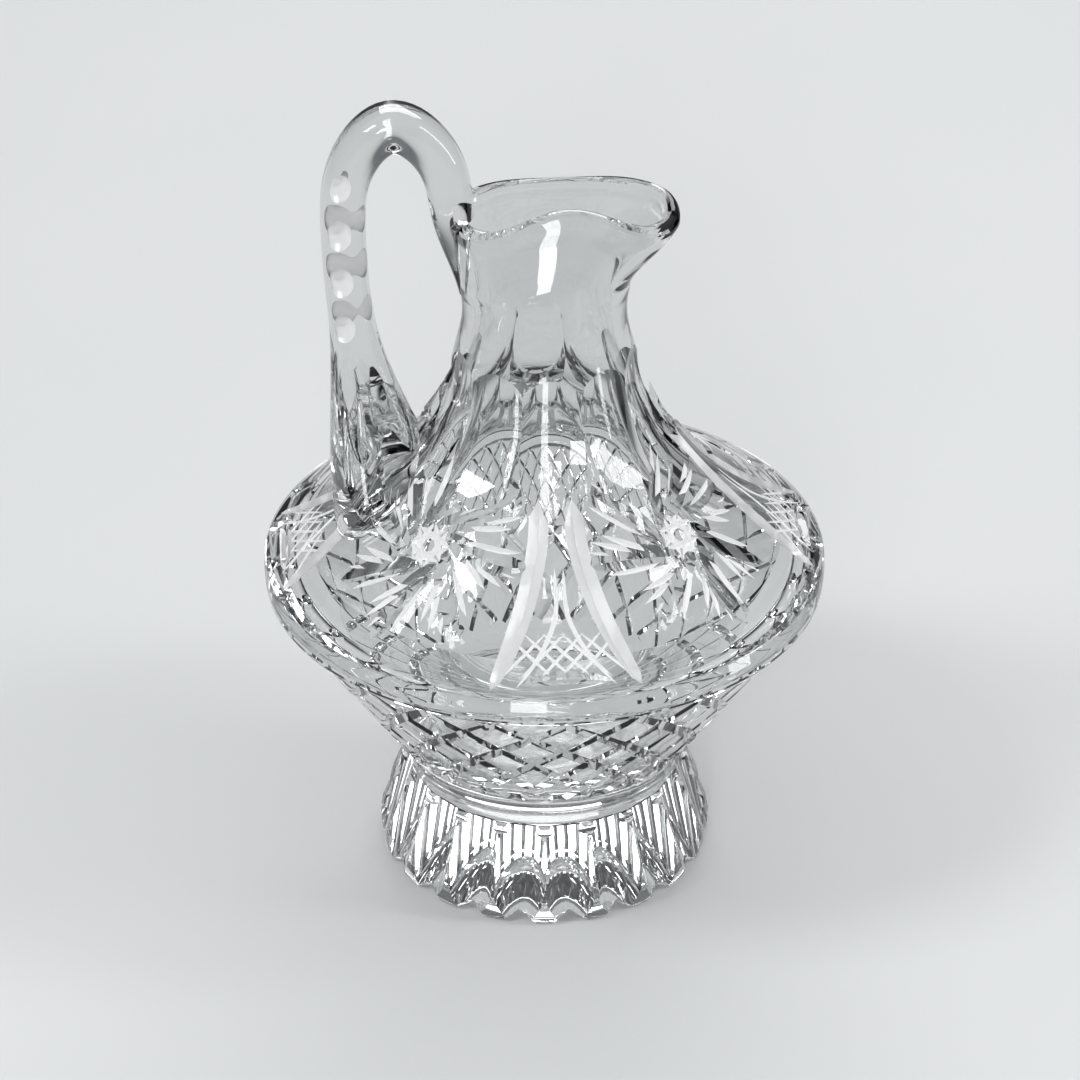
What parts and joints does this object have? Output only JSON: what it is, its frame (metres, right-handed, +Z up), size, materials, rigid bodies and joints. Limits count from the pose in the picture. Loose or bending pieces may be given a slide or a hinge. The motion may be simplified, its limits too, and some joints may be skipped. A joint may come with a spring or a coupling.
{
  "type": "crystal ewer",
  "caption": "Cut-crystal ewer: wide hollow bowl with a slim fluted neck and pinched open pouring lip, thick fluted foot and looped applied handle with thumb cuts.",
  "frame": {"origin": "on the bowl's axis, in the plane that the foot stands on", "axes": "+Z up along the bowl's axis, +X towards the pouring spout, -X towards the handle"},
  "size_m": [0.1624, 0.1624, 0.2415],
  "materials": {
    "body_crystal": "polished cut lead crystal",
    "foot_crystal": "polished cut lead crystal",
    "handle_crystal": "fire polished lead crystal with cut thumb hollows"
  },
  "bodies": {
    "root": {"body": "body_crystal", "foot": "foot_crystal", "handle": "handle_crystal"}
  },
  "joints": []
}
